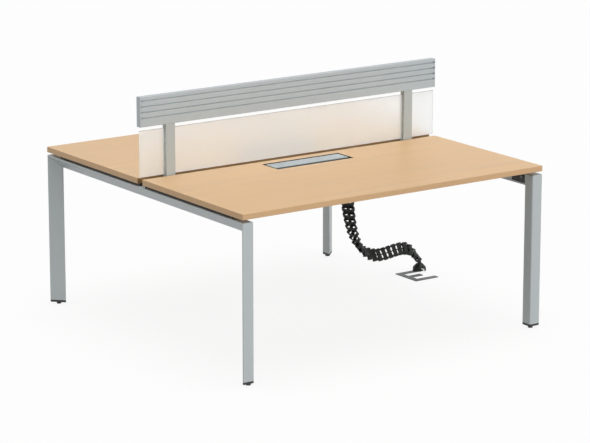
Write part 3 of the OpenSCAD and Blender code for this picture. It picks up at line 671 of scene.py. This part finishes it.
def fastener_tree():
    """A head with a broken rim and a socket for the key, over a shank with a tapered tip."""
    tree = Tree("fasteners", Head_Radius=0.006, Head_Height=0.003, Shank_Radius=0.003,
                Length=0.02, Key_Sides=6, Key_Share=0.5)
    head_r, head_h = tree.size("Head_Radius"), tree.size("Head_Height")
    shank_r, length = tree.size("Shank_Radius"), tree.size("Length")
    head = tree.rod(HEAD_SIDES, head_r, head_h, 0.0, HEAD_RINGS)
    place = tree.make("GeometryNodeInputPosition")
    split = tree.node("ShaderNodeSeparateXYZ", sockets={0: place}).outputs
    x, y, z = (Term(tree, socket) for socket in split)
    drawn = 1.0 - z.below(head_h * RIM_SHARE) * RIM_DRAWN_IN
    head = tree.make("GeometryNodeSetPosition", sockets={
        "Geometry": head, "Position": tree.vector(x * drawn, y * drawn, z)})
    key = tree.rod(tree.size("Key_Sides"), head_r * tree.size("Key_Share"),
                   head_h * (2 * KEY_DEPTH), head_h * -KEY_DEPTH)
    head = tree.cut(head, key)
    straight = (length - head_h) * STRAIGHT_SHARE
    shank = tree.rod(SHANK_SIDES, shank_r, straight, head_h * SHANK_START)
    tip = tree.cone(SHANK_SIDES, shank_r * TIP_SHARE, shank_r, length - head_h - straight)
    tip = tree.raised(tip, head_h + straight)
    return tree.repeat(tree.join(head, shank, tip), tree.heading(), "zinc")


def lumps(name):
    """The separate solids of a CAD node, each as its list of corner places."""
    shape = welded(name)
    met, found = set(), []
    for first in shape.verts:
        if first in met:
            continue
        met.add(first)
        waiting, lump = [first], []
        while waiting:
            corner = waiting.pop()
            lump.append(corner.co.copy())
            near = [edge.other_vert(corner) for edge in corner.link_edges]
            fresh = [other for other in near if other not in met]
            met.update(fresh)
            waiting.extend(fresh)
        found.append(lump)
    shape.free()
    return found


def measure(lump, axis):
    """Where a fastener's head face is, which way it points and its sizes, from its solid."""
    low, high = min(c[axis] for c in lump), max(c[axis] for c in lump)
    others = [k for k in range(3) if k != axis]
    centre = {k: (min(c[k] for c in lump) + max(c[k] for c in lump)) / 2 for k in others}

    def radius(corner):
        return math.hypot(*(corner[k] - centre[k] for k in others))

    def widest(level):
        return max(radius(c) for c in lump if abs(c[axis] - level) < CLOSE)
    face, tip = (low, high) if widest(low) > widest(high) else (high, low)
    head_r = widest(face)
    head_h = max(abs(c[axis] - face) for c in lump if abs(radius(c) - head_r) < CLOSE)
    seat, along = Vector(), Vector()
    for k in others:
        seat[k] = centre[k]
    seat[axis], along[axis] = face, math.copysign(1, tip - face)
    return seat, along, {
        "Head_Radius": head_r, "Head_Height": head_h, "Shank_Radius": widest(tip),
        "Length": high - low}


def make_fasteners():
    tree = fastener_tree()
    for name, (axis, sides) in FASTENERS.items():
        seats, alongs, sizes = zip(*(measure(lump, axis) for lump in lumps(name)))
        stand_for(tree.grow(name + "_keyed", seats, {"along": alongs}, Key_Sides=sides,
                            **sizes[0]), name)


make_fasteners()


# Brushes of the hatches: each faces its lid, and has its own seed

FACING = {"front": 1, "rear": -1}
SEEDS = {"front": 7, "rear": 11}
BACKING = 0.004
BRISTLE_ROWS = 4
BRISTLE_STEP = 0.0014
BRISTLE_MARGIN = 0.004
BRISTLE_SIDES = 5


def bristle_tree():
    """One fine tapered hair on each root, leaning a little at random."""
    tree = Tree("bristles", Reach=0.014, Thickness=0.0007, Lean=0.1, Seed=7)
    thick, lean = tree.size("Thickness"), tree.size("Lean")
    hair = tree.cone(BRISTLE_SIDES, thick * 0.25, thick * 0.5, tree.size("Reach"))
    wobble = tree.make("FunctionNodeRandomValue", {"data_type": "FLOAT_VECTOR"}, {
        0: tree.vector(lean * -1.0, lean * -0.3, lean * -0.4),
        1: tree.vector(lean, 0.0, lean * 0.4), "Seed": tree.size("Seed")})
    return tree.repeat(hair, tree.heading(wobble), "bristle")


def bristle_roots(low, high, y):
    """Close rows of roots over the brush, each row a little further along than the last."""
    count = int((high.x - low.x - 2 * BRISTLE_MARGIN) / BRISTLE_STEP)
    roots = []
    for row in range(BRISTLE_ROWS):
        z = high.z + (low.z - high.z) * (row + 1) / (BRISTLE_ROWS + 1)
        for i in range(count):
            x = low.x + BRISTLE_MARGIN + (i + row / BRISTLE_ROWS) * BRISTLE_STEP
            roots.append((x, y, z))
    return roots


def backing_strip(low, high, y):
    """The strip that holds the bristles, with its edges broken."""
    strip = bmesh.new()
    bmesh.ops.create_cube(strip, size=1.0)
    wide = (high.x - low.x, BACKING, high.z - low.z)
    bmesh.ops.scale(strip, vec=wide, verts=strip.verts)
    middle = ((low.x + high.x) / 2, y, (low.z + high.z) / 2)
    bmesh.ops.translate(strip, vec=middle, verts=strip.verts)
    ease(strip, BRUSH_EASE)
    return strip


def make_brushes():
    tree = bristle_tree()
    for side, facing in FACING.items():
        low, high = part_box(side + "_brush")
        y = (low.y if facing > 0 else high.y) + facing * BACKING / 2
        roots = bristle_roots(low, high, y)
        hairs = tree.grow(side + "_bristles", roots, {"along": [(0, facing, 0)] * len(roots)},
                          Reach=high.y - low.y - BACKING / 2, Seed=SEEDS[side])
        strip = backing_strip(low, high, y)
        strip.from_mesh(hairs.data)
        strip.to_mesh(hairs.data)
        strip.free()
        stand_for(hairs, side + "_brush")


make_brushes()


# Toolbar, with the openings at the ends of its grooves

GROOVES = 4
GROOVE_FIRST = 0.040
GROOVE_PITCH = 0.0253
BORE_INSET = 0.008
BORE_SIDES = 20


def bore_tree():
    """A bar with a round bore at each point, along the direction kept there."""
    tree = Tree("bores", Bar=None, Radius=0.005, Depth=0.0068)
    depth = tree.size("Depth")
    drill = tree.rod(BORE_SIDES, tree.size("Radius"), depth * 2.0, depth * -1.0)
    return tree.repeat(drill, tree.heading(), "toolbar", tree.given_object("Bar"))


def make_toolbar():
    """The toolbar with a round opening at both ends of every groove, for a fitting."""
    low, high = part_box("toolbar")
    spots, along = [], []
    for face, inward in ((low.y, 1), (high.y, -1)):
        for x in (low.x + BORE_INSET, high.x - BORE_INSET):
            for i in range(GROOVES):
                spots.append((x, face, low.z + GROOVE_FIRST + i * GROOVE_PITCH))
                along.append((0, inward, 0))
    bar = settle("whole_bar", welded("toolbar"))
    piece = bore_tree().grow("toolbar_bored", spots, {"along": along}, Bar=bar)
    bpy.data.objects.remove(bar)
    stand_for(piece, "toolbar")


make_toolbar()


# Cable spine, its links where part.scad hangs them: the lean of each link from plumb and its
# turn about its own length, in degrees, from the top. The first ones hang straight.

STRAIGHT_LINKS = 3
LINK_LEAN = (1, 1, 2, 3, 4, 5, 7, 9, 11, 14, 17, 22, 27, 37, 48, 59, 70, 82, 92, 97, 98, 95,
             86, 70, 50, 39, 38)
LINK_TURN = (-35, -35, -35, -36, -38, -42, -47, -53, -60, -67, -74, -82, -91, -101, -112,
             -124, -137, -149, -158, -163, -165, -164, -160, -150, -135, -120, -110)
LINK_PITCH = 0.031
SPINE_X = 0.5183
SPINE_Y = 0.290
BELL_SEAT = 0.0463


def link_poses():
    """The place and turn of every link, from the top one to the one above the bell."""
    leans = [math.radians(a) for a in (0,) * STRAIGHT_LINKS + LINK_LEAN]
    turns = [math.radians(a) for a in (LINK_TURN[0],) * STRAIGHT_LINKS + LINK_TURN]
    drops = [Vector((math.sin(lean), 0, -math.cos(lean))) * LINK_PITCH for lean in leans]
    joint = Vector((SPINE_X, SPINE_Y, BELL_SEAT - sum(drop.z for drop in drops)))
    poses = []
    for lean, turn, drop in zip(leans, turns, drops):
        swing = Matrix.Rotation(-lean, 4, "Y") @ Matrix.Rotation(turn, 4, "Z")
        poses.append(Matrix.Translation(joint) @ swing)
        joint = joint + drop
    return poses


def link_tree():
    tree = Tree("links", Link=None)
    turned = tree.make("FunctionNodeEulerToRotation", sockets={0: tree.kept("turned")})
    return tree.repeat(tree.given_object("Link"), turned, "spine")


def make_links():
    """One link with softly broken edges, set on every ball joint of the spine."""
    poses = link_poses()
    shape = welded("spine_end_link")
    bmesh.ops.transform(shape, matrix=poses[-1].inverted(), verts=shape.verts)
    ease(shape, LINK_EASE, steps=1)
    link = settle("one_link", shape)
    piece = link_tree().grow("spine_links_eased", [pose.translation for pose in poses],
                             {"turned": [pose.to_euler() for pose in poses]}, Link=link)
    bpy.data.objects.remove(link)
    stand_for(piece, "spine_links", "spine_end_link")


make_links()
